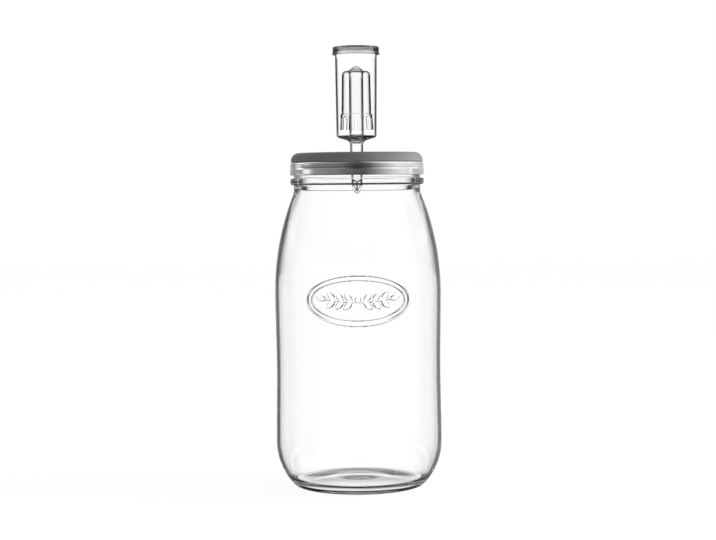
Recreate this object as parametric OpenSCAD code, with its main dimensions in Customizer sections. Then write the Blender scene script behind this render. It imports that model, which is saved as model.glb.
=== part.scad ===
// Fermentation jar: a glass jar, a screw band, a silicone lid and a three-piece airlock.
// Millimetres. The origin is the centre of the base on the table, +Z is up and the front faces -Y.

/* [Jar] */
// Height of the glass from the table to the rim
jar_h = 265; // [240:1:300]
// Widest outside diameter of the body
body_d = 137.2; // [128:0.2:150]
// How far the side draws in at mid height
panel_recess = 0.7; // [0:0.1:1.8]
// Thickness of the glass in the body and the shoulder
wall = 2.5; // [2:0.1:4]
// Height of the floor inside above the table, at its edge
floor_z = 5; // [4:0.5:9]
// Rise of the floor inside at its centre
floor_dome = 3; // [0:0.5:5]
// Rise of the underside at its centre
push_up = 4; // [1:0.5:5]
// Radius of the heel outside
heel_r = 50; // [40:1:60]
// Radius of the heel inside
inner_heel_r = 30; // [20:1:36]
// How far the foot ring lies in from the side of the body
heel_inset = 18.5; // [12:0.5:24]
// Radius between the heel and the foot ring
foot_r = 6; // [3:0.5:10]
// Width of the flat foot ring
foot_ring_w = 3; // [2:0.5:6]
// Radius of the long curve of the shoulder
shoulder_r = 214; // [160:1:240]
// Radius of the hollow between shoulder and neck
neck_fillet = 12; // [6:1:18]
// Radius of the same hollow inside
inner_neck_fillet = 30; // [12:1:40]

/* [Neck] */
// Inside diameter of the mouth
mouth_d = 98; // [90:0.5:99]
// Outside diameter of the neck
neck_d = 104.4; // [102:0.2:112]
// Height of the neck from the shoulder to the rim
neck_h = 19.8; // [18:0.2:26]
// How far the bead stands out from the neck
bead_out = 2.9; // [1.5:0.1:4]
// Height of the bead
bead_h = 5.3; // [3:0.1:6]
// Radius of the bead's edges
bead_r = 1.1; // [0.5:0.1:1.4]
// Distance from the rim down to the top of the bead
bead_drop = 10.5; // [10:0.1:13]
// Radius of the rim's edges
rim_r = 1.2; // [0.5:0.1:2]

/* [Thread] */
// Rise of the thread in one turn
thread_lead = 5; // [4.6:0.1:6]
// Height of the glass thread above the neck
thread_depth = 1.8; // [1.2:0.1:2.4]
// Turns of the glass thread
glass_turns = 1; // [0.6:0.05:1.1]
// Turns of the rolled thread in the band
band_turns = 0.9; // [0.5:0.05:1]
// Width of the crest of the glass thread
glass_crest_w = 1.2; // [0.6:0.1:1.6]
// Width of the crest of the rolled thread
band_crest_w = 0.9; // [0.5:0.1:1.4]
// Slope of the flanks from square
flank_angle = 20; // [10:1:25]
// Distance from the rim down to the upper end of the glass thread
thread_drop = 2.6; // [2.4:0.1:4]
// Clearance between each crest and the wall that it faces
crest_gap = 0.5; // [0.3:0.1:0.8]
// Clearance between the two threads along the axis
thread_gap = 0.3; // [0.2:0.05:0.5]

/* [Screw band] */
// Thickness of the sheet steel
band_t = 0.5; // [0.4:0.1:0.8]
// Height of the band
band_h = 10.7; // [9:0.1:11.5]
// Radius of the upper corner outside
band_corner_r = 1.6; // [1:0.1:2.5]
// Reach of the flange inward from the side of the band
flange_w = 9; // [7:0.5:10]
// Diameter of the curled lower edge
curl_d = 1.1; // [0.8:0.1:1.3]

/* [Silicone lid] */
// Height of the crown above the band
crown_h = 7.7; // [6:0.1:11]
// Radius of the upper edge of the crown
crown_edge_r = 6.5; // [3:0.5:7]
// How far the crown lies in from the side of the band
crown_setback = 0.6; // [0.2:0.1:2]
// Radius of the lower edge of the crown
crown_foot_r = 0.6; // [0.3:0.1:0.8]
// Thickness of the sealing lip on the rim
lip_t = 2.2; // [1:0.1:3]
// How far the lip lies in from the side of the neck
lip_setback = 0.4; // [0.2:0.1:1.5]
// Depth of the plug in the mouth
plug_h = 3.5; // [2:0.1:6]
// Thickness of the plug's ring wall
plug_wall = 4.5; // [3:0.5:8]
// Thickness of the top over the pocket
lid_top_t = 4.3; // [3:0.1:5.5]
// Diameter of the hub that grips the stem
hub_d = 22; // [18:1:30]
// Clearance between the lip and the rim
seal_gap = 0.05; // [0.02:0.01:0.1]
// Clearance between the plug and the mouth
plug_gap = 0.5; // [0.3:0.1:1]
// Clearance on each side of the flange in its groove
flange_gap = 0.05; // [0.02:0.01:0.1]
// Clearance between the flange's edge and the bottom of the groove
groove_gap = 0.3; // [0.2:0.1:0.6]

/* [Airlock body] */
// Outside diameter of the cup at its rim
cup_d = 34.5; // [33:0.1:38]
// Outside diameter of the cup at its foot
cup_foot_d = 33; // [32:0.1:36]
// Height of the cup from its foot to its rim
cup_h = 70.5; // [64:0.1:78]
// Thickness of the cup's wall
cup_wall = 1; // [0.8:0.1:1.6]
// Thickness of the floor where it meets the wall
cup_floor_t = 1.1; // [0.8:0.1:2]
// Radius of the cup's lower corner
cup_corner_r = 2.2; // [0.6:0.1:3]
// Slope of the funnel under the cup
funnel_slope = 17; // [10:1:25]
// Radius between the funnel and the stem
funnel_fillet = 4; // [2:0.5:6]
// Free length of the stem between the lid and the funnel
stem_free = 6.4; // [3:0.2:12]
// Diameter of the stem where it leaves the funnel
stem_d = 11; // [10.2:0.1:12]
// Diameter of the stem at its lower end
stem_end_d = 9; // [8:0.1:9.8]
// Length of the stem below the top of the lid
stem_below = 26; // [20:0.5:36]
// Bore at the lower end of the stem
bore_end_d = 7; // [5:0.1:7.2]
// Bore at the top of the stem
stem_bore_d = 9; // [6.8:0.1:9.2]
// Bore in the riser
bore_top_d = 9.8; // [7.6:0.1:10]
// Diameter of the riser at the floor of the cup
riser_d = 11.8; // [11.2:0.1:13]
// Diameter of the riser at its top
riser_top_d = 11.8; // [11.2:0.1:13]
// Height of the riser above the floor of the cup
riser_h = 52.7; // [46:0.5:58]
// Length of the finned tip
tip_h = 7.2; // [6.4:0.1:9]
// Half width of the fins at their waist
tip_waist = 2.1; // [1.4:0.1:2.4]
// Distance from the stem's end down to the waist
tip_waist_drop = 3.1; // [2:0.1:3.6]
// Half width of the fins at their barb
tip_barb = 2.75; // [2.4:0.05:3.2]
// Distance from the stem's end down to the barb
tip_barb_drop = 5.3; // [4:0.1:6]
// Thickness of a fin
fin_t = 1.1; // [0.8:0.1:1.6]
// How far the fins reach up into the bore
fin_root = 4; // [2:0.5:8]
// Clearance between the stem and the hole in the lid
stem_gap = 0.05; // [0.02:0.01:0.1]

/* [Bell] */
// Outside diameter of the bell at its top
bell_d = 23.4; // [22:0.1:24]
// Outside diameter of the bell above its skirt
bell_foot_d = 24.5; // [23.6:0.1:25.4]
// Thickness of the bell's wall
bell_wall = 0.9; // [0.6:0.1:1.2]
// Height of the bell from its top to the lower edge of the skirt
bell_h = 48.2; // [42:0.2:50]
// Radius of the bell's upper edge
bell_edge_r = 3.2; // [2:0.1:4]
// Height of the point on top
bell_point_h = 4.2; // [2:0.1:6]
// Radius of the point at its foot
bell_point_r = 6.8; // [5.6:0.1:7.4]
// Diameter of the hollow under the point
bell_hollow_d = 9.6; // [5:0.1:10]
// Roundness of the point's tip
bell_tip_r = 1.5; // [0.5:0.1:3]
// Outside diameter of the skirt at its top
skirt_top_d = 26.2; // [25.8:0.1:27]
// Outside diameter of the skirt at its lower edge
skirt_d = 28; // [27.2:0.1:28.6]
// Height of the skirt
skirt_h = 13.2; // [8:0.2:16]
// Number of notches round the skirt
notch_count = 8; // [4:1:10]
// Turn of the first notch from the front
notch_turn = 6; // [0:1:45]
// Width of a notch
notch_w = 6; // [3:0.1:6.6]
// Height of a notch
notch_h = 11.6; // [5:0.2:12]
// Clearance between the bell and the top of the riser
bell_gap = 0.05; // [0.02:0.01:0.1]

/* [Airlock cap] */
// Outside diameter of the cap
cap_d = 39; // [37:0.2:43]
// Height of the cap
cap_h = 6.6; // [5:0.1:10]
// Thickness of the cap's top
cap_t = 1.2; // [0.8:0.1:2]
// Height of the space under the cap's top, down to the ledge that sits on the cup
cap_seat_h = 3; // [1:0.1:5]
// Width of the ledge
cap_seat_w = 1.05; // [0.6:0.05:1.2]
// Radius of the cap's upper edge
cap_edge_r = 1.4; // [0.6:0.1:2]
// How far the lower lip stands out from the cap
cap_lip = 0.4; // [0.2:0.1:0.8]
// Height of the lower lip
cap_lip_h = 1.2; // [0.8:0.1:2]
// Number of vent holes
vent_count = 4; // [1:1:8]
// Diameter of a vent hole
vent_d = 1.6; // [1:0.1:2.5]
// Diameter of the circle of vent holes
vent_circle_d = 18; // [10:1:26]
// Turn of the first vent hole from the right
vent_turn = 45; // [0:1:90]
// Clearance between the cap and the rim of the cup
cap_seat_gap = 0.05; // [0.02:0.01:0.1]
// Clearance between the cap and the cup
cap_gap = 0.1; // [0.05:0.01:0.2]

/* [Hidden] */
$fn = 96;

// Steps of a sampled curve and of one turn of a thread
curve_steps = 14;
turn_steps = 72;
// How far a thread or a fin is rooted in its wall
root_depth = 0.6;
// Overshoot of a cut past the faces that it opens
cut = 1;

// Jar radii and the heights of its curves
body_r = body_d / 2;
neck_r = neck_d / 2;
mouth_r = mouth_d / 2;
foot_out = body_r - heel_inset;
foot_in = foot_out - foot_ring_w;
heel_z = foot_r + sqrt(pow(heel_r - foot_r, 2) - pow(heel_r - heel_inset, 2));
heel_angle = atan2(heel_z - foot_r, heel_r - heel_inset);
shoulder_angle = acos(1 - (body_r - neck_r) / (shoulder_r + neck_fillet));
neck_z = jar_h - neck_h;
shoulder_z = neck_z - (shoulder_r + neck_fillet) * sin(shoulder_angle);
inner_body_r = body_r - wall;
inner_shoulder_r = shoulder_r - wall;
inner_sum = inner_shoulder_r + inner_neck_fillet;
inner_angle = acos(1 - (inner_body_r - mouth_r) / inner_sum);
inner_neck_z = shoulder_z + inner_sum * sin(inner_angle);
bead_top_z = jar_h - bead_drop;

// Heights of the lid and the band, stacked on the rim
lip_z = jar_h + seal_gap;
flange_z = lip_z + lip_t + flange_gap;
flange_top_z = flange_z + band_t;
crown_z = flange_top_z + flange_gap;
lid_top_z = crown_z + crown_h;
band_z = flange_top_z - band_h;
band_in_r = neck_r + thread_depth + crest_gap;
band_r = band_in_r + band_t;
flange_in_r = band_r - flange_w;
crown_r = band_r - crown_setback;
plug_r = mouth_r - plug_gap;

// Thread shapes and places
glass_crest_r = neck_r + thread_depth;
glass_root_r = neck_r - root_depth;
band_crest_r = neck_r + crest_gap;
band_root_r = band_in_r + band_t / 2;
flank = tan(flank_angle);
glass_root_w = glass_crest_w + 2 * flank * (glass_crest_r - glass_root_r);
band_root_w = band_crest_w + 2 * flank * (band_root_r - band_crest_r);
thread_offset = (glass_crest_w + band_crest_w) / 2 + flank * (glass_crest_r - band_crest_r) + thread_gap;
glass_thread_z = jar_h - thread_drop - thread_lead * glass_turns;
band_thread_z = band_z + band_root_w / 2 + curl_d / 4;
band_thread_start = (band_thread_z + thread_offset - glass_thread_z) * 360 / thread_lead;

// Airlock radii and heights, stacked on the lid
cup_r = cup_d / 2;
cup_foot_r = cup_foot_d / 2;
stem_r = stem_d / 2;
stem_end_r = stem_end_d / 2;
bore_end_r = bore_end_d / 2;
stem_bore_r = stem_bore_d / 2;
bore_top_r = bore_top_d / 2;
stem_top_z = lid_top_z + stem_free;
stem_end_z = lid_top_z - stem_below;
tip_z = stem_end_z - tip_h;
funnel_r = stem_r + funnel_fillet * (1 - sin(funnel_slope));
funnel_z = stem_top_z + funnel_fillet * cos(funnel_slope);
corner_r = cup_foot_r - cup_corner_r * (1 - sin(funnel_slope));
corner_z = funnel_z + (corner_r - funnel_r) * tan(funnel_slope);
cup_floor_z = corner_z + cup_floor_t;
cup_rim_z = corner_z + cup_h;
riser_top_z = cup_floor_z + riser_h;

// Bell and cap, seated on the riser and on the rim of the cup
bell_in_z = riser_top_z + bell_gap;
bell_top_z = bell_in_z + bell_wall;
bell_z = bell_top_z - bell_h;
skirt_top_z = bell_z + skirt_h;
bell_r = bell_d / 2;
bell_foot_r = bell_foot_d / 2;
cap_seat_z = cup_rim_z + cap_seat_gap;
cap_top_z = cap_seat_z + cap_seat_h + cap_t;
cap_z = cap_top_z - cap_h;
cap_r = cap_d / 2;
cap_in_r = cup_r + cap_gap;

// Points of an arc round [x, y] from angle a to angle b
function arc(x, y, r, a, b) =
    [for (i = [0 : curve_steps]) let (t = a + (b - a) * i / curve_steps) [x + r * cos(t), y + r * sin(t)]];

// Points of a side that draws in by the panel's recess between two heights
function panel(r, z0, z1) =
    [for (i = [1 : curve_steps - 1])
        let (t = i / curve_steps) [r - panel_recess * (1 - cos(360 * t)) / 2, z0 + (z1 - z0) * t]];

// Points of the underside, a parabola from the foot ring to the centre
function underside() =
    [for (i = [0 : curve_steps]) let (r = foot_in * i / curve_steps) [r, push_up * (1 - pow(r / foot_in, 2))]];

// Points of the floor inside, from radius r to the centre, its rise rounded off at its edge and its top
function floor_rise(r) =
    [for (i = [curve_steps - 1 : -1 : 0])
        let (t = i / curve_steps) [r * t, floor_z + floor_dome * pow(1 - t * t, 2)]];

// Points of a cone from its centre out to radius r, from height z up, its tip rounded as a hyperbola is
function point_drop(r) = sqrt(r * r + bell_tip_r * bell_tip_r) - bell_tip_r;
function bell_point(foot_r, z) =
    [for (i = [0 : curve_steps])
        let (r = foot_r * i / curve_steps)
            [r, z + bell_point_h * (1 - point_drop(r) / point_drop(foot_r))]];

function reversed(points) = [for (i = [len(points) - 1 : -1 : 0]) points[i]];

// Radius of the tapered stem at a height
function stem_radius(z) = stem_end_r + (stem_r - stem_end_r) * (z - stem_end_z) / (stem_top_z - stem_end_z);

// A helical ridge with a trapezoid section, from angle start, rising by the thread's lead
module ridge(low_r, low_w, high_r, high_w, z, start, turns) {
    steps = round(turn_steps * turns);
    section = [[low_r, -low_w / 2], [high_r, -high_w / 2], [high_r, high_w / 2], [low_r, low_w / 2]];
    points = [for (i = [0 : steps]) let (turn = turns * i / steps, a = start + 360 * turn)
        for (p = section) [p.x * cos(a), p.x * sin(a), z + thread_lead * turn + p.y]];
    sides = [for (i = [0 : steps - 1]) for (j = [0 : 3])
        let (a = 4 * i + j, b = 4 * i + (j + 1) % 4)
            each [[a, b, b + 4], [a, b + 4, a + 4]]];
    last = 4 * steps;
    ends = [[3, 2, 1], [3, 1, 0], [last, last + 1, last + 2], [last, last + 2, last + 3]];
    polyhedron(points, concat(sides, ends));
}

module jar() {
    outside = concat(
        arc(foot_out, foot_r, foot_r, -90, -heel_angle),
        arc(body_r - heel_r, heel_z, heel_r, -heel_angle, 0),
        panel(body_r, heel_z, shoulder_z),
        arc(body_r - shoulder_r, shoulder_z, shoulder_r, 0, shoulder_angle),
        arc(neck_r + neck_fillet, neck_z, neck_fillet, 180 + shoulder_angle, 180),
        [[neck_r, bead_top_z - bead_h]],
        arc(neck_r + bead_out - bead_r, bead_top_z - bead_h + bead_r, bead_r, -90, 0),
        arc(neck_r + bead_out - bead_r, bead_top_z - bead_r, bead_r, 0, 90),
        [[neck_r, bead_top_z]],
        arc(neck_r - rim_r, jar_h - rim_r, rim_r, 0, 90)
    );
    heel_top_z = floor_z + inner_heel_r;
    inside = concat(
        arc(mouth_r + rim_r, jar_h - rim_r, rim_r, 90, 180),
        arc(mouth_r + inner_neck_fillet, inner_neck_z, inner_neck_fillet, 180, 180 + inner_angle),
        arc(body_r - shoulder_r, shoulder_z, inner_shoulder_r, inner_angle, 0),
        reversed(panel(inner_body_r, heel_top_z, shoulder_z)),
        arc(inner_body_r - inner_heel_r, heel_top_z, inner_heel_r, 0, -90),
        floor_rise(inner_body_r - inner_heel_r)
    );
    color([0.86, 0.91, 0.92, 0.45])
    union() {
        rotate_extrude() polygon(concat(underside(), outside, inside));
        ridge(glass_root_r, glass_root_w, glass_crest_r, glass_crest_w, glass_thread_z, 0, glass_turns);
    }
}

module silicone_lid() {
    hole_top_r = stem_radius(lid_top_z) + stem_gap;
    hole_end_r = stem_radius(lip_z - plug_h) + stem_gap;
    groove_r = flange_in_r - groove_gap;
    lip_r = neck_r - lip_setback;
    pocket_r = plug_r - plug_wall;
    color([0.36, 0.36, 0.37])
    rotate_extrude() polygon(concat(
        [[hole_end_r, lip_z - plug_h], [hub_d / 2, lip_z - plug_h]],
        [[hub_d / 2, lid_top_z - lid_top_t], [pocket_r, lid_top_z - lid_top_t]],
        [[pocket_r, lip_z - plug_h], [plug_r, lip_z - plug_h], [plug_r, lip_z], [lip_r, lip_z]],
        [[lip_r, lip_z + lip_t], [groove_r, lip_z + lip_t], [groove_r, crown_z]],
        arc(crown_r - crown_foot_r, crown_z + crown_foot_r, crown_foot_r, -90, 0),
        arc(crown_r - crown_edge_r, lid_top_z - crown_edge_r, crown_edge_r, 0, 90),
        [[hole_top_r, lid_top_z]]
    ));
}

module screw_band() {
    curl_r = curl_d / 2;
    curl_x = band_r + curl_r - band_t;
    inner_corner_r = band_corner_r - band_t;
    color([0.78, 0.79, 0.8])
    union() {
        rotate_extrude() union() {
            polygon(concat(
                [[flange_in_r, flange_z]],
                reversed(arc(band_r - band_corner_r, flange_top_z - band_corner_r, inner_corner_r, 0, 90)),
                [[band_in_r, band_z + curl_r], [band_r, band_z + curl_r]],
                arc(band_r - band_corner_r, flange_top_z - band_corner_r, band_corner_r, 0, 90),
                [[flange_in_r, flange_top_z]]
            ));
            translate([curl_x, band_z + curl_r]) circle(curl_r);
        }
        ridge(band_crest_r, band_crest_w, band_root_r, band_root_w,
            band_thread_z, band_thread_start, band_turns);
    }
}

// One flat fin of the tip: it fills the bore above the stem's end and narrows to a barb below
module fin() {
    half = [[bore_end_r + root_depth, stem_end_z + fin_root], [bore_end_r + root_depth, stem_end_z],
        [tip_waist, stem_end_z - tip_waist_drop], [tip_barb, stem_end_z - tip_barb_drop], [fin_t / 2, tip_z]];
    outline = concat(half, reversed([for (p = half) [-p.x, p.y]]));
    rotate([90, 0, 0]) linear_extrude(fin_t, center = true) polygon(outline);
}

module airlock_body() {
    color([0.88, 0.9, 0.9, 0.5])
    union() {
        rotate_extrude() polygon(concat(
            [[bore_end_r, stem_end_z], [stem_end_r, stem_end_z]],
            arc(stem_r + funnel_fillet, stem_top_z, funnel_fillet, 180, 90 + funnel_slope),
            arc(cup_foot_r - cup_corner_r, corner_z + cup_corner_r * cos(funnel_slope), cup_corner_r,
                funnel_slope - 90, 0),
            [[cup_r, cup_rim_z], [cup_r - cup_wall, cup_rim_z]],
            [[cup_foot_r - cup_wall, cup_floor_z], [riser_d / 2, cup_floor_z]],
            [[riser_top_d / 2, riser_top_z], [bore_top_r, riser_top_z]],
            [[bore_top_r, cup_floor_z], [stem_bore_r, stem_top_z]]
        ));
        fin();
        rotate([0, 0, 90]) fin();
    }
}

module airlock_bell() {
    skirt_top_r = skirt_top_d / 2;
    skirt_r = skirt_d / 2;
    inner_edge_r = bell_edge_r - bell_wall;
    color([0.88, 0.9, 0.9, 0.5])
    difference() {
        rotate_extrude() polygon(concat(
            bell_point(bell_hollow_d / 2, bell_in_z),
            reversed(arc(bell_r - bell_edge_r, bell_top_z - bell_edge_r, inner_edge_r, 0, 90)),
            [[bell_foot_r - bell_wall, skirt_top_z - bell_wall]],
            [[skirt_top_r - bell_wall, skirt_top_z - bell_wall], [skirt_r - bell_wall, bell_z]],
            [[skirt_r, bell_z], [skirt_top_r, skirt_top_z], [bell_foot_r, skirt_top_z]],
            arc(bell_r - bell_edge_r, bell_top_z - bell_edge_r, bell_edge_r, 0, 90),
            reversed(bell_point(bell_point_r, bell_top_z))
        ));
        for (i = [0 : notch_count - 1])
            rotate([0, 0, notch_turn + i * 360 / notch_count])
                translate([0, 0, bell_z])
                    rotate([90, 0, 0])
                        linear_extrude(skirt_r + cut)
                            union() {
                                translate([-notch_w / 2, -cut])
                                    square([notch_w, notch_h - notch_w / 2 + cut]);
                                translate([0, notch_h - notch_w / 2]) circle(notch_w / 2);
                            }
    }
}

module airlock_cap() {
    color([0.86, 0.88, 0.88, 0.6])
    difference() {
        rotate_extrude() polygon(concat(
            [[0, cap_top_z - cap_t], [cap_in_r - cap_seat_w, cap_top_z - cap_t]],
            [[cap_in_r - cap_seat_w, cap_seat_z], [cap_in_r, cap_seat_z], [cap_in_r, cap_z]],
            [[cap_r, cap_z], [cap_r, cap_z + cap_lip_h], [cap_r - cap_lip, cap_z + cap_lip_h]],
            arc(cap_r - cap_lip - cap_edge_r, cap_top_z - cap_edge_r, cap_edge_r, 0, 90),
            [[0, cap_top_z]]
        ));
        for (i = [0 : vent_count - 1])
            rotate([0, 0, vent_turn + i * 360 / vent_count])
                translate([vent_circle_d / 2, 0, cap_top_z - cap_t - cut])
                    cylinder(d = vent_d, h = cap_t + 2 * cut);
    }
}

jar();
silicone_lid();
screw_band();
airlock_body();
airlock_bell();
airlock_cap();
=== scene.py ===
import math

import bpy
import numpy as np
from mathutils import Euler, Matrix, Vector


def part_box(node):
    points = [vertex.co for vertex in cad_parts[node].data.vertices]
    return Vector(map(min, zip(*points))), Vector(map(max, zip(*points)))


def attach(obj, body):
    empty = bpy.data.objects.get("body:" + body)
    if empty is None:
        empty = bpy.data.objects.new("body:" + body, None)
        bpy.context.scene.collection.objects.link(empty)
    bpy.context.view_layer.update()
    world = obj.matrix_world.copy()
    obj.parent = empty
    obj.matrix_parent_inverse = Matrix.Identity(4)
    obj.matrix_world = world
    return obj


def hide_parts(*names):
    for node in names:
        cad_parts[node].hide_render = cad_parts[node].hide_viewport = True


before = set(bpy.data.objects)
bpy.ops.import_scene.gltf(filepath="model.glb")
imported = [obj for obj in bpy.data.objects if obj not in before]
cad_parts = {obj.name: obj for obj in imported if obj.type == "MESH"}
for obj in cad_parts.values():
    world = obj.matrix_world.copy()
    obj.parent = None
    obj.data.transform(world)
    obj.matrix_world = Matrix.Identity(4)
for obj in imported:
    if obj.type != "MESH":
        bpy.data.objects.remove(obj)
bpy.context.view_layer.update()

# Jar
# One piece of clear pressed glass of about three litres, with a rounded heel on a narrow foot ring, and a
# bead and a thread of one turn under the rim. The mould raises an oval frame round leaf sprigs on its front.
MM = 0.001
jar_low, jar_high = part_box("jar")
rim_z = jar_high.z / MM
body_r = (jar_high.x - jar_low.x) / 2 / MM
neck_r = 52.2
mouth_r = 49.0
wall = 2.5
panel_recess = 0.7
floor_z = 5.0
floor_dome = 3.0
floor_fillet = 14.0
push_up = 4.0
heel_r = 50.0
heel_inset = 18.5
heel_wall = 2.5
foot_r = 6.0
foot_ring_w = 3.0
shoulder_r = 214.0
neck_fillet = 12.0
inner_neck_fillet = 30.0
neck_h = 19.8
bead_out = 2.9
bead_h = 5.3
bead_r = 1.5
bead_top_r = 0.4
bead_drop = 10.5
rim_r = 1.2
thread_lead = 5.0
thread_depth = 1.8
thread_crest_w = 1.2
thread_flank = math.tan(math.radians(20))
thread_fade = 0.05
thread_drop = 2.6

foot_out = body_r - heel_inset
foot_in = foot_out - foot_ring_w
heel_z = foot_r + math.sqrt((heel_r - foot_r) ** 2 - (heel_r - heel_inset) ** 2)
heel_angle = math.degrees(math.atan2(heel_z - foot_r, heel_r - heel_inset))
heel_x = body_r - heel_r
fillet_z = floor_z + floor_fillet
floor_edge_r = heel_x + math.sqrt((heel_r - heel_wall - floor_fillet) ** 2 - (heel_z - fillet_z) ** 2)
fillet_angle = math.degrees(math.atan2(heel_z - fillet_z, floor_edge_r - heel_x))
neck_z = rim_z - neck_h
shoulder_angle = math.acos(1 - (body_r - neck_r) / (shoulder_r + neck_fillet))
shoulder_z = neck_z - (shoulder_r + neck_fillet) * math.sin(shoulder_angle)
shoulder_end_z = shoulder_z + shoulder_r * math.sin(shoulder_angle)
inner_r = body_r - wall
inner_shoulder_r = shoulder_r - wall
inner_angle = math.degrees(math.acos(1 - (inner_r - mouth_r) / (inner_shoulder_r + inner_neck_fillet)))
inner_neck_z = shoulder_z + (inner_shoulder_r + inner_neck_fillet) * math.sin(math.radians(inner_angle))
bead_x = neck_r + bead_out
bead_top_z = rim_z - bead_drop
bead_z = bead_top_z - bead_h
thread_z = rim_z - thread_drop - thread_lead

relief_z = 158.0
relief_half_w = 43.0
relief_half_h = 20.0
relief_height = 1.1
relief_slope = 0.9
relief_margin = 2.0
relief_reach = 0.68
frame_line_w = 1.5
inner_line_w = 0.7
inner_line_gap = 4.0
stalk_l = 26.0
stalk_half_w = 0.45
stalk_bow = 0.0035
stalk_drop = 1.5
knot_r = 2.4
knot_rise = 0.4
leaf_feet = (4.5, 11.5, 18.5)
leaf_leans = (48, -40)
end_leaf = (25.5, 10)
leaf_half_l = 4.6
leaf_half_w = 2.1
vein_half_w = 0.2
vein_slope = 0.8
vein_depth = 0.45
front = -math.pi / 2


def arc(centre_r, centre_z, radius, start, end, steps):
    """Points of a circle round a centre, from one angle in degrees to another, as rows of radius and
    height."""
    a = np.radians(np.linspace(start, end, steps))
    return np.column_stack((centre_r + radius * np.cos(a), centre_z + radius * np.sin(a)))


def line(start, end, steps=2):
    """Evenly spaced points from one (radius, height) to another."""
    return np.linspace(start, end, steps)


def outline(*runs):
    """The runs of an outline end to end, without the points that two runs share."""
    points = np.vstack(runs)
    step = np.linalg.norm(np.diff(points, axis=0), axis=1)
    return points[np.concatenate(([True], step > 1e-6))]


def drawn_in(radius, z):
    """The radius of the body's wall at a height, drawn in from its ends as a cosine does."""
    share = np.clip((z - heel_z) / (shoulder_z - heel_z), 0, 1)
    return radius - panel_recess * (1 - np.cos(2 * np.pi * share)) / 2


def side_radius(z):
    """Radius of the jar's side at a height: the panel that draws in, then the long arc of the shoulder, then
    the hollow arc that turns into the neck."""
    rise = np.clip(z - shoulder_z, 0, shoulder_end_z - shoulder_z)
    shoulder = body_r - shoulder_r + np.sqrt(shoulder_r**2 - rise**2)
    fall = np.clip(neck_z - z, 0, neck_z - shoulder_end_z)
    hollow = neck_r + neck_fillet - np.sqrt(neck_fillet**2 - fall**2)
    return np.where(z < shoulder_z, drawn_in(body_r, z), np.where(z < shoulder_end_z, shoulder, hollow))


def soft_step(distance, width):
    """1 inside, 0 outside, with a sine slope of the given width across distance 0."""
    return (1 - np.sin(np.pi / 2 * np.clip(2 * distance / width, -1, 1))) / 2


def stalk_height(side):
    """Height of the sprigs' stalk over the middle of the design: a parabola of the distance to the side."""
    return stalk_bow * side**2 - stalk_drop


def relief(angle, z):
    """Height of the raised design on the front: two oval lines, where the distance to an oval is its implicit
    function over its slope, and two mirrored sprigs whose leaves are pointed ovals along a bowed stalk."""
    across = body_r * (np.mod(angle - front + np.pi, 2 * np.pi) - np.pi)
    up = z - relief_z
    side = np.abs(across)

    def oval(inset, width):
        half_w, half_h = relief_half_w - inset, relief_half_h - inset
        f = np.sqrt((across / half_w) ** 2 + (up / half_h) ** 2) + 1e-9
        slope = np.sqrt((across / half_w**2) ** 2 + (up / half_h**2) ** 2) / f + 1e-9
        return soft_step(np.abs((f - 1) / slope) - width / 2, relief_slope)

    stalk = np.maximum(np.abs(up - stalk_height(side)) - stalk_half_w, side - stalk_l)
    height = np.maximum(oval(0, frame_line_w), oval(inner_line_gap, inner_line_w))
    height = np.maximum(height, soft_step(stalk, relief_slope))
    height = np.maximum(height, soft_step(np.hypot(side, up - knot_rise) - knot_r, relief_slope))
    for foot, degrees in [(foot, lean) for foot in leaf_feet for lean in leaf_leans] + [end_leaf]:
        lean = math.radians(degrees)
        out = side - foot - leaf_half_l * math.cos(lean)
        over = up - stalk_height(foot) - leaf_half_l * math.sin(lean)
        along = out * math.cos(lean) + over * math.sin(lean)
        aside = np.abs(over * math.cos(lean) - out * math.sin(lean))
        edge = aside - leaf_half_w * (1 - np.clip(along / leaf_half_l, -1, 1) ** 2)
        leaf = soft_step(np.maximum(edge, np.abs(along) - leaf_half_l), relief_slope)
        vein = 1 - vein_depth * soft_step(aside - vein_half_w, vein_slope)
        height = np.maximum(height, leaf * vein)
    return relief_height * height


def thread(angle, z, start, foot_z, turns, depth, crest_w):
    """Height of a screw thread: a ridge with sloping flanks, whose middle climbs by the lead in a turn from
    its start, and which comes up and goes down as a cubic step does at the two ends of its turns."""
    turn = np.mod(angle - start, 2 * np.pi) / (2 * np.pi)
    centre = foot_z + thread_lead * turn
    height = depth - np.maximum(np.abs(z - centre) - crest_w / 2, 0) / thread_flank
    ends = np.clip(np.minimum(turn, turns - turn) / thread_fade, 0, 1)
    return np.clip(height, 0, depth) * ends * ends * (3 - 2 * ends)


def smooth(piece, crease=40):
    """Smooth shading, with the edges that turn by more than the crease angle in degrees kept sharp."""
    mesh = piece.data
    mesh.polygons.foreach_set("use_smooth", np.ones(len(mesh.polygons), bool))
    mesh.set_sharp_from_angle(angle=math.radians(crease))
    return piece


def shell(name, points, faces):
    """A mesh object at the origin from points in metres and faces that point outwards."""
    mesh = bpy.data.meshes.new(name)
    mesh.from_pydata(points, [], faces)
    piece = bpy.data.objects.new(name, mesh)
    bpy.context.scene.collection.objects.link(piece)
    return smooth(piece)


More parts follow.
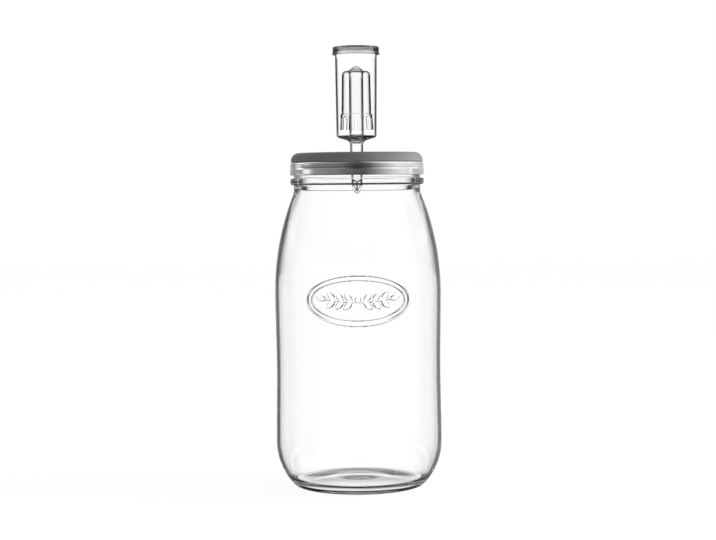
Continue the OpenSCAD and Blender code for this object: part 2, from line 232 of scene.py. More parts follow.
def turned(name, radius, height, angle):
    """A closed surface of revolution: row i and column j lie at radius[i, j] and height[i, j], turned by
    angle[j]. A row on the axis becomes one point, and where neither end is on the axis the last row joins the
    first."""
    radius, height = (np.broadcast_to(x, (len(x), len(angle))) * MM for x in (radius, height))
    points = np.stack((radius * np.cos(angle), radius * np.sin(angle), height), axis=-1)
    ring = radius.max(axis=1) > 1e-7
    keep = ring[:, None] | (np.arange(len(angle)) == 0)
    number = np.where(ring[:, None], np.arange(len(angle)), 0)
    count = keep.sum(axis=1)
    number = number + (np.cumsum(count) - count)[:, None]
    lower, upper = number, np.roll(number, -1, axis=0)
    if not (ring[0] and ring[-1]):
        lower, upper = lower[:-1], upper[:-1]
    corners = np.stack((lower, np.roll(lower, -1, 1), np.roll(upper, -1, 1), upper), axis=-1).reshape(-1, 4)
    first, last = corners[:, 0] == corners[:, 1], corners[:, 2] == corners[:, 3]
    faces = corners[~first & ~last].tolist() + corners[first][:, 1:].tolist() + corners[last][:, :3].tolist()
    return shell(name, points[keep], faces)


fine = np.linspace(-relief_reach, relief_reach, 205)
coarse = np.linspace(relief_reach, 2 * np.pi - relief_reach, 92)[1:-1]
jar_angle = front + np.concatenate((fine, coarse))
under_r = np.linspace(0, foot_in, 10)
relief_end = relief_half_h + relief_margin
side_z = np.concatenate((
    np.linspace(heel_z, relief_z - relief_end, 16),
    np.linspace(relief_z - relief_end, relief_z + relief_end, 94)[1:-1],
    np.linspace(relief_z + relief_end, neck_z, 36),
))
inner_z = np.linspace(shoulder_z, heel_z, 14)
floor_share = np.linspace(1, 0, 12)
jar_rows = outline(
    np.column_stack((under_r, push_up * (1 - (under_r / foot_in) ** 2))),
    arc(foot_out, foot_r, foot_r, -90, -heel_angle, 8),
    arc(heel_x, heel_z, heel_r, -heel_angle, 0, 22),
    np.column_stack((side_radius(side_z), side_z)),
    line((neck_r, neck_z), (neck_r, bead_z)),
    arc(bead_x - bead_r, bead_z + bead_r, bead_r, -90, 0, 6),
    arc(bead_x - bead_top_r, bead_top_z - bead_top_r, bead_top_r, 0, 90, 6),
    line((neck_r, bead_top_z), (neck_r, rim_z - rim_r), 26),
    arc(neck_r - rim_r, rim_z - rim_r, rim_r, 0, 90, 6),
    arc(mouth_r + rim_r, rim_z - rim_r, rim_r, 90, 180, 6),
    arc(mouth_r + inner_neck_fillet, inner_neck_z, inner_neck_fillet, 180, 180 + inner_angle, 8),
    arc(body_r - shoulder_r, shoulder_z, inner_shoulder_r, inner_angle, 0, 20),
    np.column_stack((drawn_in(inner_r, inner_z), inner_z)),
    arc(heel_x, heel_z, heel_r - heel_wall, 0, -fillet_angle, 14),
    arc(floor_edge_r, fillet_z, floor_fillet, -fillet_angle, -90, 12),
    np.column_stack((floor_edge_r * floor_share, floor_z + floor_dome * (1 - floor_share**2) ** 2)),
)
jar_rows_r, jar_rows_z = jar_rows[:, :1], jar_rows[:, 1:]
outside = np.arange(len(jar_rows))[:, None] < np.argmax(jar_rows[:, 1])
on_neck = outside & (jar_rows_z > bead_top_z)
on_side = outside & (np.abs(jar_rows_z - relief_z) < relief_end)
ridge = thread(jar_angle, jar_rows_z, 0.0, thread_z, 1.0, thread_depth, thread_crest_w)
jar_r = jar_rows_r + np.where(on_neck, ridge, 0)
jar_r = jar_r + np.where(on_side, relief(jar_angle, jar_rows_z), 0)
jar = turned("glass_jar", jar_r, jar_rows_z, jar_angle)


def colour(code):
    """Linear colour, with alpha 1, of an sRGB hex code."""
    part = np.array([int(code[i:i + 2], 16) for i in (1, 3, 5)]) / 255
    part = np.where(part <= 0.04045, part / 12.92, ((part + 0.055) / 1.055) ** 2.4)
    return (*part.tolist(), 1.0)


def add(tree, kind, settings=None):
    """Adds a node and sets its inputs and properties by name: an output, or a node's first one, is linked to
    the input, and any other value is set."""
    made = tree.nodes.new(kind)
    for name, value in (settings or {}).items():
        if isinstance(value, bpy.types.Node):
            value = value.outputs[0]
        if isinstance(value, bpy.types.NodeSocket):
            tree.links.new(value, made.inputs[name])
        elif hasattr(made, str(name)):
            setattr(made, name, value)
        else:
            made.inputs[name].default_value = value
    return made


def finish(name):
    """An empty node material and its tree."""
    made = bpy.data.materials.new(name)
    made.use_nodes = True
    made.node_tree.nodes.clear()
    return made, made.node_tree


def clear_moulding(tree, normal, ior, gloss, tint, density, share):
    """The finish of a clear moulding: it bends light by its IOR, mirrors it as far as its gloss lets it and
    tints it in its depth by a density per metre. A share of it only bends light, which makes the edges
    darker."""
    shader = add(tree, "ShaderNodeBsdfPrincipled", {
        "Base Color": colour("#ffffff"), "Roughness": 0.0, "IOR": ior, "Transmission Weight": 1.0,
        "Specular Tint": (gloss, gloss, gloss, 1.0), "Normal": normal,
    })
    bend = add(tree, "ShaderNodeBsdfRefraction", {"Roughness": 0.0, "IOR": ior, "Normal": normal})
    both = add(tree, "ShaderNodeMixShader", {0: share, 1: shader, 2: bend})
    depth = add(tree, "ShaderNodeVolumeAbsorption", {"Color": colour(tint), "Density": density})
    add(tree, "ShaderNodeOutputMaterial", {"Surface": both, "Volume": depth})


# Soda-lime glass from a press mould: clear and faintly grey in its depth, with a slow ripple from the
# plunger. Its edges are dark above the heel and lighter towards the floor.
ripple_w = 26.0
ripple_depth = 0.4
light_z = 6.0
dark_z = 50.0
glass, tree = finish("pressed_soda_lime_glass")
place = add(tree, "ShaderNodeTexCoord").outputs["Object"]
ripple = add(tree, "ShaderNodeTexNoise", {"Scale": 1 / (ripple_w * MM), "Detail": 1.0, "Vector": place})
bump = add(tree, "ShaderNodeBump", {"Strength": 0.05, "Distance": ripple_depth * MM, "Height": ripple})
level = add(tree, "ShaderNodeSeparateXYZ", {0: place})
share = add(tree, "ShaderNodeMapRange", {
    "Value": level.outputs["Z"], "From Min": light_z * MM, "From Max": dark_z * MM,
    "To Min": 0.0, "To Max": 0.2,
})
clear_moulding(tree, bump, ior=1.52, gloss=0.35, tint="#d2d4d4", density=16.0, share=share)
jar.data.materials.append(glass)
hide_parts("jar")
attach(jar, "jar")

# Silicone lid
# A thick grey lid moulded in silicone. A groove round its edge buttons over the band's flange, its lip lies
# on the glass rim, a ring plugs the mouth, and a hub in the middle grips the airlock's stem.
lid_low, lid_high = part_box("silicone_lid")
lid_top_z = lid_high.z / MM
plug_z = lid_low.z / MM
crown_r = (lid_high.x - lid_low.x) / 2 / MM
crown_h = 7.7
crown_t = 4.3
crown_edge_r = 6.5
crown_foot_r = 0.6
band_t = 0.5
flange_gap = 0.05
lip_t = 2.2
lip_inset = 0.4
groove_r = 45.7
plug_gap = 0.5
plug_wall = 4.5
hub_r = 11.0
hub_edge_r = 1.2
hole_top_r = 5.35
hole_end_r = 4.92
hole_edge_r = 0.4

crown_z = lid_top_z - crown_h
lip_top_z = crown_z - band_t - 2 * flange_gap
lip_z = lip_top_z - lip_t
lip_r = neck_r - lip_inset
plug_r = mouth_r - plug_gap
pocket_r = plug_r - plug_wall
pocket_z = lid_top_z - crown_t
plug_edge_z = plug_z + hub_edge_r
hole_x = hole_top_r + hole_edge_r
lid_rows = outline(
    line((hole_end_r, plug_z), (hub_r - hub_edge_r, plug_z), 4),
    arc(hub_r - hub_edge_r, plug_edge_z, hub_edge_r, -90, 0, 5),
    line((hub_r, plug_edge_z), (hub_r, pocket_z), 3),
    line((hub_r, pocket_z), (pocket_r, pocket_z), 6),
    line((pocket_r, pocket_z), (pocket_r, plug_edge_z), 3),
    arc(pocket_r + hub_edge_r, plug_edge_z, hub_edge_r, 180, 270, 5),
    arc(plug_r - hub_edge_r, plug_edge_z, hub_edge_r, -90, 0, 5),
    line((plug_r, plug_edge_z), (plug_r, lip_z)),
    line((plug_r, lip_z), (lip_r, lip_z), 3),
    line((lip_r, lip_z), (lip_r, lip_top_z), 3),
    line((lip_r, lip_top_z), (groove_r, lip_top_z), 3),
    line((groove_r, lip_top_z), (groove_r, crown_z)),
    line((groove_r, crown_z), (crown_r - crown_foot_r, crown_z), 3),
    arc(crown_r - crown_foot_r, crown_z + crown_foot_r, crown_foot_r, -90, 0, 5),
    arc(crown_r - crown_edge_r, lid_top_z - crown_edge_r, crown_edge_r, 0, 90, 16),
    line((crown_r - crown_edge_r, lid_top_z), (hole_x, lid_top_z), 12),
    arc(hole_x, lid_top_z - hole_edge_r, hole_edge_r, 90, 180, 4),
    line((hole_top_r, lid_top_z - hole_edge_r), (hole_end_r, plug_z), 6)[:-1],
)
lid_angle = np.linspace(0, 2 * np.pi, 145)[:-1]
lid = turned("silicone_lid_cover", lid_rows[:, :1], lid_rows[:, 1:], lid_angle)

# Grey food-grade silicone, satin from its mould: a soft wide highlight, a stipple and a faint bloom of dust.
# The stipple is drawn at 0.9 mm so that it shows.
stipple_w = 0.9
stipple_depth = 0.05
bloom_w = 22.0
silicone, tree = finish("moulded_grey_silicone")
place = add(tree, "ShaderNodeTexCoord").outputs["Object"]
stipple = add(tree, "ShaderNodeTexNoise", {"Scale": 1 / (stipple_w * MM), "Detail": 3.0, "Vector": place})
bloom = add(tree, "ShaderNodeTexNoise", {"Scale": 1 / (bloom_w * MM), "Detail": 4.0, "Vector": place})
tone = add(tree, "ShaderNodeValToRGB", {"Fac": bloom})
for stop, position, code in zip(tone.color_ramp.elements, (0.3, 0.7), ("#67686a", "#717274")):
    stop.position = position
    stop.color = colour(code)
satin = add(tree, "ShaderNodeMapRange", {"To Min": 0.46, "To Max": 0.56, "Value": bloom})
bump = add(tree, "ShaderNodeBump", {"Strength": 0.2, "Distance": stipple_depth * MM, "Height": stipple})
shader = add(tree, "ShaderNodeBsdfPrincipled", {
    "Base Color": tone, "Roughness": satin, "IOR": 1.42, "Specular IOR Level": 0.25, "Normal": bump,
})
add(tree, "ShaderNodeOutputMaterial", {"Surface": shader})
lid.data.materials.append(silicone)
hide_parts("silicone_lid")
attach(lid, "lid")

# Screw band
# A ring of half-millimetre steel rolled to shape: a flange that the lid buttons over, a rounded upper corner,
# a line rolled round the middle, a thread rolled inside and a curled lower edge.
band_low, band_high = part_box("screw_band")
band_top_z = band_high.z / MM
band_z = band_low.z / MM
band_gap = 0.5
flange_w = 9.0
band_corner_r = 1.6
curl_r = 0.55
curl_out = 0.1
curl_rise = 1.6
band_line_z = 262.7
band_step_h = 1.0
band_step = 0.15
band_groove = 0.14
band_groove_w = 1.6
band_bulge = 0.02
band_flare = 0.25
band_thread_depth = 1.6
band_thread_w = 0.9
band_thread_z = 258.57
band_thread_start = 4.0
band_thread_turns = 0.9

band_in_r = neck_r + thread_depth + band_gap
band_r = band_in_r + band_t
flange_in_r = band_r - flange_w
curl_x = band_r + band_step + curl_out - curl_r
band_corner_x = band_r - band_corner_r
band_corner_z = band_top_z - band_corner_r
flange_z = band_top_z - band_t


def rolled_form(z):
    """How far the band's wall stands out: the lower part steps out at the rolled line by a sine and flares
    down from it in a straight line, the line itself is a groove as deep as a raised cosine, and each part
    bulges as half a sine does."""
    low = np.clip((z - band_z) / (band_line_z - band_z), 0, 1)
    high = np.clip((z - band_line_z) / (band_corner_z - band_line_z), 0, 1)
    bulge = band_bulge * (np.sin(np.pi * low) + np.sin(np.pi * high))
    groove = band_groove * (1 + np.cos(2 * np.pi * np.clip((z - band_line_z) / band_groove_w, -0.5, 0.5))) / 2
    return band_step * soft_step(z - band_line_z, band_step_h) + band_flare * (1 - low) + bulge - groove


band_wall_z = np.linspace(band_z + curl_rise * curl_r, band_corner_z, 44)
band_rows = outline(
    line((flange_in_r, flange_z), (band_corner_x, flange_z), 4),
    arc(band_corner_x, band_corner_z, band_corner_r - band_t, 90, 0, 6),
    np.column_stack((np.full_like(band_wall_z, band_in_r), band_wall_z[::-1])),
    arc(curl_x, band_z + curl_r, curl_r, 160, 390, 18),
    np.column_stack((np.full_like(band_wall_z, band_r), band_wall_z)),
    arc(band_corner_x, band_corner_z, band_corner_r, 0, 90, 9),
    line((band_corner_x, band_top_z), (flange_in_r, band_top_z), 4),
)
band_rows_r, band_rows_z = band_rows[:, :1], band_rows[:, 1:]
band_inner = np.abs(band_rows_r - band_in_r) < 1e-6
band_outer = np.abs(band_rows_r - band_r) < 1e-6
band_angle = np.linspace(0, 2 * np.pi, 241)[:-1]
ridge = thread(
    band_angle, band_rows_z, band_thread_start, band_thread_z,
    band_thread_turns, band_thread_depth, band_thread_w,
)
band_wall_r = band_rows_r - np.where(band_inner, ridge, 0)
band_wall_r = band_wall_r + np.where(band_outer | band_inner, rolled_form(band_rows_z), 0)
band = turned("steel_screw_band", band_wall_r, band_rows_z, band_angle)

# Bright tin-plated steel, rolled: a clear mirror that rolling lines draw out round the ring and handling
# dulls in places. The lines are drawn 0.7 mm apart so that they show.
roll_w = 0.7
roll_l = 125.0
roll_depth = 0.03
handled_w = 9.0
steel, tree = finish("bright_rolled_steel")
place = add(tree, "ShaderNodeTexCoord").outputs["Object"]
stretch = add(tree, "ShaderNodeMapping", {
    "Scale": (1 / (roll_l * MM), 1 / (roll_l * MM), 1 / (roll_w * MM)), "Vector": place,
})
lines = add(tree, "ShaderNodeTexNoise", {"Scale": 1.0, "Detail": 2.0, "Vector": stretch})
handled = add(tree, "ShaderNodeTexNoise", {"Scale": 1 / (handled_w * MM), "Detail": 3.0, "Vector": place})
sheen = add(tree, "ShaderNodeMapRange", {"To Min": 0.08, "To Max": 0.16, "Value": handled})
bump = add(tree, "ShaderNodeBump", {"Strength": 0.12, "Distance": roll_depth * MM, "Height": lines})
shader = add(tree, "ShaderNodeBsdfPrincipled", {
    "Base Color": colour("#dcdddd"), "Metallic": 1.0, "Roughness": sheen, "Normal": bump,
})
add(tree, "ShaderNodeOutputMaterial", {"Surface": shader})
band.data.materials.append(steel)
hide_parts("screw_band")
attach(band, "band")

# Airlock body
# A clear moulding in one piece: a cup for water with a riser tube in its middle, a funnel under it, and a
# tapered stem that plugs into the lid and ends in a tip of four small fins.
body_low, body_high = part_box("airlock_body")
cup_rim_z = body_high.z / MM
tip_z = body_low.z / MM
cup_r = 17.25
cup_foot_r = 16.5
cup_wall = 1.0
cup_floor_t = 1.1
cup_floor_r = 1.0
cup_h = 70.5
cup_corner_r = 2.2
cup_lip_r = 0.3
funnel_slope = 17.0
funnel_fillet = 4.0
stem_r = 5.5
stem_end_r = 4.5
stem_bore_r = 4.5
bore_end_r = 3.5
bore_top_r = 4.9
riser_r = 5.9
riser_h = 52.7
riser_foot_r = 0.8
tip_h = 7.2
fin_t = 1.1
fin_root = 4.0
fin_bite = 0.6
fin_edge = 0.4
tip_waist = 2.1
tip_waist_drop = 3.1
tip_barb = 2.75
tip_barb_drop = 5.3

cup_foot_z = cup_rim_z - cup_h
slope = math.radians(funnel_slope)
cup_corner_x = cup_foot_r - cup_corner_r
cup_corner_z = cup_foot_z + cup_corner_r * math.cos(slope)
funnel_out_r = cup_foot_r - cup_corner_r * (1 - math.sin(slope))
funnel_r = stem_r + funnel_fillet * (1 - math.sin(slope))
funnel_z = cup_foot_z - (funnel_out_r - funnel_r) * math.tan(slope)
stem_top_z = funnel_z - funnel_fillet * math.cos(slope)
stem_end_z = tip_z + tip_h
cup_floor_z = cup_foot_z + cup_floor_t
cup_in_r = cup_foot_r - cup_wall
riser_top_z = cup_floor_z + riser_h
lip_down_z = cup_rim_z - cup_lip_r
riser_lip_z = riser_top_z - cup_lip_r
airlock_rows = outline(
    line((bore_end_r, stem_end_z), (stem_end_r - cup_lip_r, stem_end_z)),
    arc(stem_end_r - cup_lip_r, stem_end_z + cup_lip_r, cup_lip_r, -90, 0, 4),
    line((stem_end_r, stem_end_z + cup_lip_r), (stem_r, stem_top_z), 8),
    arc(stem_r + funnel_fillet, stem_top_z, funnel_fillet, 180, 90 + funnel_slope, 12),
    arc(cup_corner_x, cup_corner_z, cup_corner_r, funnel_slope - 90, 0, 8),
    line((cup_foot_r, cup_corner_z), (cup_r, lip_down_z), 12),
    arc(cup_r - cup_lip_r, lip_down_z, cup_lip_r, 0, 90, 4),
    arc(cup_r - cup_wall + cup_lip_r, lip_down_z, cup_lip_r, 90, 180, 4),
    line((cup_r - cup_wall, lip_down_z), (cup_in_r, cup_floor_z + cup_floor_r), 12),
    arc(cup_in_r - cup_floor_r, cup_floor_z + cup_floor_r, cup_floor_r, 0, -90, 6),
    line((cup_in_r - cup_floor_r, cup_floor_z), (riser_r + riser_foot_r, cup_floor_z), 4),
    arc(riser_r + riser_foot_r, cup_floor_z + riser_foot_r, riser_foot_r, 270, 180, 6),
    line((riser_r, cup_floor_z + riser_foot_r), (riser_r, riser_lip_z), 10),
    arc(riser_r - cup_lip_r, riser_lip_z, cup_lip_r, 0, 90, 4),
    line((riser_r - cup_lip_r, riser_top_z), (bore_top_r + cup_lip_r, riser_top_z)),
    arc(bore_top_r + cup_lip_r, riser_lip_z, cup_lip_r, 90, 180, 4),
    line((bore_top_r, riser_lip_z), (bore_top_r, cup_floor_z), 8),
    line((bore_top_r, cup_floor_z), (stem_bore_r, stem_top_z), 4),
    line((stem_bore_r, stem_top_z), (bore_end_r, stem_end_z), 6)[:-1],
)
airlock_angle = np.linspace(0, 2 * np.pi, 97)[:-1]
airlock = turned("airlock_cup", airlock_rows[:, :1], airlock_rows[:, 1:], airlock_angle)


def slab(name, across, up, thickness, turns, away=0.0):
    """Flat outlines of half widths across at heights up, given a thickness along the depth, pushed away from
    the axis and turned about it by each of the angles, as one mesh of closed prisms."""
    x = np.concatenate((across, -across[::-1]))
    z = np.concatenate((up, up[::-1]))
    count = len(x)
    depth = np.array((-away - thickness / 2, -away + thickness / 2))
    flat = np.stack(np.broadcast_arrays(x, depth[:, None], z), axis=-1).reshape(-1, 3)
    points, faces = [], []
    for step, a in enumerate(turns):
        c, s = math.cos(a), math.sin(a)
        points.append(flat @ np.array(((c, s, 0), (-s, c, 0), (0, 0, 1))))
        near = np.arange(count) + 2 * count * step
        far = near + count
        sides = np.stack((near, np.roll(near, -1), np.roll(far, -1), far), axis=-1)
        faces += [near[::-1].tolist(), far.tolist()] + sides.tolist()
    made = shell(name, np.concatenate(points) * MM, faces)
    made.data.validate()
    return made


def shape(piece, tool, how):
    """Joins a tool to a piece or cuts it out of the piece, keeps the result as the piece's mesh and deletes
    the tool."""
    step = piece.modifiers.new("shape", "BOOLEAN")
    step.object, step.operation, step.solver = tool, how, "EXACT"
    result = bpy.data.meshes.new_from_object(piece.evaluated_get(bpy.context.evaluated_depsgraph_get()))
    piece.modifiers.clear()
    piece.data = result
    bpy.data.objects.remove(tool)
    return smooth(piece)


fin_up = stem_end_z + np.array((fin_root, 0, -tip_waist_drop, -tip_barb_drop, -tip_h))
fin_across = np.array((bore_end_r + fin_bite, bore_end_r + fin_bite, tip_waist, tip_barb, fin_t / 2))
for turn in (0, math.pi / 2):
    fin = slab("fin", fin_across, fin_up, fin_t, (turn,))
    edge = fin.modifiers.new("edge", "BEVEL")
    edge.width, edge.segments = fin_edge * MM, 3
    airlock = shape(airlock, fin, "UNION")

# Clear styrene from an injection mould: water-clear with a faint grey depth and slight flow ripples. Its
# edges are dark in the cup and the bell and lighter in the funnel and the stem.
flow_w = 9.0
flow_depth = 0.1
funnel_blend = 4.0
plastic, tree = finish("clear_moulded_styrene")
place = add(tree, "ShaderNodeTexCoord").outputs["Object"]
flow = add(tree, "ShaderNodeTexNoise", {"Scale": 1 / (flow_w * MM), "Detail": 1.0, "Vector": place})
bump = add(tree, "ShaderNodeBump", {"Strength": 0.03, "Distance": flow_depth * MM, "Height": flow})
level = add(tree, "ShaderNodeSeparateXYZ", {0: place})
share = add(tree, "ShaderNodeMapRange", {
    "Value": level.outputs["Z"], "From Min": cup_foot_z * MM, "From Max": (cup_foot_z + funnel_blend) * MM,
    "To Min": 0.08, "To Max": 0.5,
})
clear_moulding(tree, bump, ior=1.5, gloss=0.1, tint="#cfd1d2", density=50.0, share=share)
airlock.data.materials.clear()
airlock.data.materials.append(plastic)
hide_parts("airlock_body")
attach(airlock, "airlock")

# Airlock bell
# A clear inverted cup moulded with a pointed top, which sits over the riser and floats up as gas passes.
# Arched notches round its skirt let the gas out into the water.
bell_low, bell_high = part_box("airlock_bell")
bell_z = bell_low.z / MM
bell_point_h = 4.2
bell_r = 11.7
bell_foot_r = 12.25
bell_wall = 0.9
bell_edge_r = 3.2
bell_point_r = 6.8
bell_hollow_r = 4.8
bell_tip_r = 1.5
bell_lip_r = 0.25
skirt_top_r = 13.1
skirt_r = 14.0
skirt_h = 13.2
skirt_step_r = 0.8
notch_count = 8
notch_w = 6.0
notch_h = 11.6
notch_turn = math.radians(6)
notch_cut = 8.0
notch_under = 1.0
notch_point = 0.02

bell_top_z = bell_high.z / MM - bell_point_h
bell_under_z = bell_top_z - bell_wall
bell_edge_z = bell_top_z - bell_edge_r
skirt_top_z = bell_z + skirt_h
skirt_in_z = skirt_top_z - bell_wall
skirt_step_x = skirt_top_r - skirt_step_r
bell_foot_gap = skirt_step_x - bell_foot_r


def point(foot_r, foot_z, steps=14):
    """A cone from its foot up to the axis, its tip rounded as a hyperbola is."""
    r = np.linspace(foot_r, 0, steps)
    drop = np.sqrt(r**2 + bell_tip_r**2) - bell_tip_r
    return np.column_stack((r, foot_z + bell_point_h * (1 - drop / drop[0])))


bell_rows = outline(
    point(bell_hollow_r, bell_under_z)[::-1],
    line((bell_hollow_r, bell_under_z), (bell_r - bell_edge_r, bell_under_z), 4),
    arc(bell_r - bell_edge_r, bell_edge_z, bell_edge_r - bell_wall, 90, 0, 8),
    line((bell_r - bell_wall, bell_edge_z), (bell_foot_r - bell_wall, skirt_in_z), 8),
    line((bell_foot_r - bell_wall, skirt_in_z), (skirt_top_r - bell_wall, skirt_in_z)),
    line((skirt_top_r - bell_wall, skirt_in_z), (skirt_r - bell_wall, bell_z), 6),
    line((skirt_r - bell_wall, bell_z), (skirt_r - bell_lip_r, bell_z)),
    arc(skirt_r - bell_lip_r, bell_z + bell_lip_r, bell_lip_r, -90, 0, 4),
    line((skirt_r, bell_z + bell_lip_r), (skirt_top_r, skirt_top_z - skirt_step_r), 6),
    arc(skirt_step_x, skirt_top_z - skirt_step_r, skirt_step_r, 0, 90, 6),
    arc(skirt_step_x, skirt_top_z + bell_foot_gap, bell_foot_gap, 270, 180, 6),
    line((bell_foot_r, skirt_top_z + bell_foot_gap), (bell_r, bell_edge_z), 8),
    arc(bell_r - bell_edge_r, bell_edge_z, bell_edge_r, 0, 90, 10),
    line((bell_r - bell_edge_r, bell_top_z), (bell_point_r, bell_top_z), 3),
    point(bell_point_r, bell_top_z),
)
bell = turned("airlock_float_bell", bell_rows[:, :1], bell_rows[:, 1:], airlock_angle)
arch = np.radians(np.linspace(0, 90, 9))
arch_r = notch_w / 2
arch_across = np.concatenate(([arch_r], np.maximum(arch_r * np.cos(arch), notch_point)))
arch_up = bell_z + np.concatenate(([-notch_under], notch_h - arch_r + arch_r * np.sin(arch)))
notch_turns = notch_turn + np.arange(notch_count) * math.tau / notch_count
notches = slab("notches", arch_across[::-1], arch_up[::-1], notch_cut, notch_turns, away=skirt_r)
bell = shape(bell, notches, "DIFFERENCE")
bell.data.materials.clear()
bell.data.materials.append(plastic)
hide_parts("airlock_bell")
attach(bell, "bell")

# Airlock cap
# A clear cap with a smoky tint, moulded to snap over the rim of the cup. A small lip round its foot is there
# to pull it by, and four vent holes in its top let the gas out.
cap_low, cap_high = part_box("airlock_cap")
cap_top_z = cap_high.z / MM
cap_z = cap_low.z / MM
cap_r = (cap_high.x - cap_low.x) / 2 / MM
cap_t = 1.2
cap_edge_r = 1.4
cap_lip = 0.4
cap_lip_h = 1.2
cap_lip_r = 0.25
cap_gap = 0.1
cap_seat_h = 3.0
cap_seat_r = 16.3
vent_r = 0.8
vent_circle_r = 9.0
vent_count = 4
vent_turn = 45
vent_sides = 16
vent_past = 1.0

cap_in_r = cup_r + cap_gap
cap_side_r = cap_r - cap_lip
cap_under_z = cap_top_z - cap_t
cap_seat_z = cap_under_z - cap_seat_h
cap_lip_z = cap_z + cap_lip_h
cap_rows = outline(
    line((0, cap_under_z), (cap_seat_r, cap_under_z), 6),
    line((cap_seat_r, cap_under_z), (cap_seat_r, cap_seat_z), 3),
    line((cap_seat_r, cap_seat_z), (cap_in_r, cap_seat_z)),
    line((cap_in_r, cap_seat_z), (cap_in_r, cap_z + cap_lip_r), 4),
    arc(cap_in_r + cap_lip_r, cap_z + cap_lip_r, cap_lip_r, 180, 270, 4),
    arc(cap_r - cap_lip_r, cap_z + cap_lip_r, cap_lip_r, -90, 0, 4),
    arc(cap_r - cap_lip_r, cap_lip_z - cap_lip_r, cap_lip_r, 0, 90, 4),
    line((cap_r - cap_lip_r, cap_lip_z), (cap_side_r, cap_lip_z)),
    line((cap_side_r, cap_lip_z), (cap_side_r, cap_top_z - cap_edge_r), 4),
    arc(cap_side_r - cap_edge_r, cap_top_z - cap_edge_r, cap_edge_r, 0, 90, 8),
    line((cap_side_r - cap_edge_r, cap_top_z), (0, cap_top_z), 6),
)
cap = turned("airlock_snap_cap", cap_rows[:, :1], cap_rows[:, 1:], airlock_angle)
vent_a = np.linspace(0, 2 * np.pi, vent_sides + 1)[:-1]
under = np.arange(vent_sides)
above = under + vent_sides
vent_walls = np.stack((under, np.roll(under, -1), np.roll(above, -1), above), axis=-1)
for step in range(vent_count):
    turn = math.radians(vent_turn + 360 / vent_count * step)
    ring_x = vent_circle_r * math.cos(turn) + vent_r * np.cos(vent_a)
    ring_y = vent_circle_r * math.sin(turn) + vent_r * np.sin(vent_a)
    ends = [np.column_stack((ring_x, ring_y, np.full(vent_sides, z)))
            for z in (cap_under_z - vent_past, cap_top_z + vent_past)]
    drill = shell("drill", np.vstack(ends) * MM, vent_walls.tolist() + [under[::-1].tolist(), above.tolist()])
    cap = shape(cap, drill, "DIFFERENCE")

# The same styrene with a smoky grey tint and a faint grain from its mould.
grain_w = 0.6
grain_depth = 0.02
haze, tree = finish("grained_grey_styrene")
place = add(tree, "ShaderNodeTexCoord").outputs["Object"]
grain = add(tree, "ShaderNodeTexNoise", {"Scale": 1 / (grain_w * MM), "Detail": 2.0, "Vector": place})
bump = add(tree, "ShaderNodeBump", {"Strength": 0.1, "Distance": grain_depth * MM, "Height": grain})
clear_moulding(tree, bump, ior=1.5, gloss=0.1, tint="#b8babb", density=340.0, share=0.5)
cap.data.materials.clear()
cap.data.materials.append(haze)
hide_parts("airlock_cap")
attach(cap, "cap")

# Floor, light and camera
# A plain white floor and a white room. Glass sees white panels with darker gaps between them, which draw its
# edges, metal mirrors a room with a bright side, and a soft lamp on the right lights the lid.
scene = bpy.context.scene
scene.view_settings.view_transform = "Standard"
scene.cycles.max_bounces = 24
scene.cycles.transmission_bounces = 20
scene.cycles.glossy_bounces = 8
panel_count = 8.0
gap_degrees = 20
gap_level = 0.03
beside_degrees = (10, 16)
behind_level = 0.5


def panels(tree, x, y, glances, beside, dim, twice, white, edge):
    """Brightness of eight white panels round the object in the direction x, y, by the sine of the angle to
    the nearest panel's middle: white up to the edge in degrees, then falling to the dark gap. Light that has
    glanced off a surface on its way sees one level beside a panel's middle and a dim one elsewhere, and after
    a second glance another one."""
    lateral = add(tree, "ShaderNodeMath", {"operation": "ARCTAN2", 0: x, 1: y})
    for step in ("MULTIPLY", "COSINE", "ARCCOSINE", "DIVIDE", "SINE"):
        lateral = add(tree, "ShaderNodeMath", {"operation": step, 0: lateral, 1: panel_count})
    straight = add(tree, "ShaderNodeMapRange", {
        "interpolation_type": "SMOOTHSTEP", "Value": lateral, "From Min": math.sin(math.radians(edge)),
        "From Max": math.sin(math.radians(gap_degrees)), "To Min": white, "To Max": gap_level,
    })
    near, far = (math.sin(math.radians(degrees)) for degrees in beside_degrees)
    aside = add(tree, "ShaderNodeMapRange", {
        "interpolation_type": "SMOOTHSTEP", "Value": lateral,
        "From Min": near, "From Max": far, "To Min": 1.0, "To Max": 0.0,
    })
    glanced = add(tree, "ShaderNodeMix", {0: aside, 2: dim, 3: beside})
    once = add(tree, "ShaderNodeMath", {"operation": "MINIMUM", 0: glances, 1: 1.0})
    level = add(tree, "ShaderNodeMix", {0: once, 2: straight, 3: glanced})
    again = add(tree, "ShaderNodeMapRange", {"Value": glances, "From Min": 1.0, "From Max": 2.0})
    return add(tree, "ShaderNodeMix", {0: again, 2: level, 3: twice})


def room(tree, x, y, stops):
    """Brightness of the room that metal mirrors in the direction x, y, as levels at angles from the front in
    degrees: a dark side with the camera, a grey wall with a bright slit on the left and a white panel on the
    right."""
    forward = add(tree, "ShaderNodeMath", {"operation": "MULTIPLY", 0: y, 1: -1.0})
    angle = add(tree, "ShaderNodeMath", {"operation": "ARCTAN2", 0: x, 1: forward})
    turn = add(tree, "ShaderNodeMapRange", {"Value": angle, "From Min": -math.pi, "From Max": math.pi})
    walls = add(tree, "ShaderNodeValToRGB", {"Fac": turn})
    for end in walls.color_ramp.elements:
        end.color = (behind_level, behind_level, behind_level, 1)
    for degrees, level in stops:
        stop = walls.color_ramp.elements.new((degrees + 180) / 360)
        stop.color = (level, level, level, 1)
    return walls


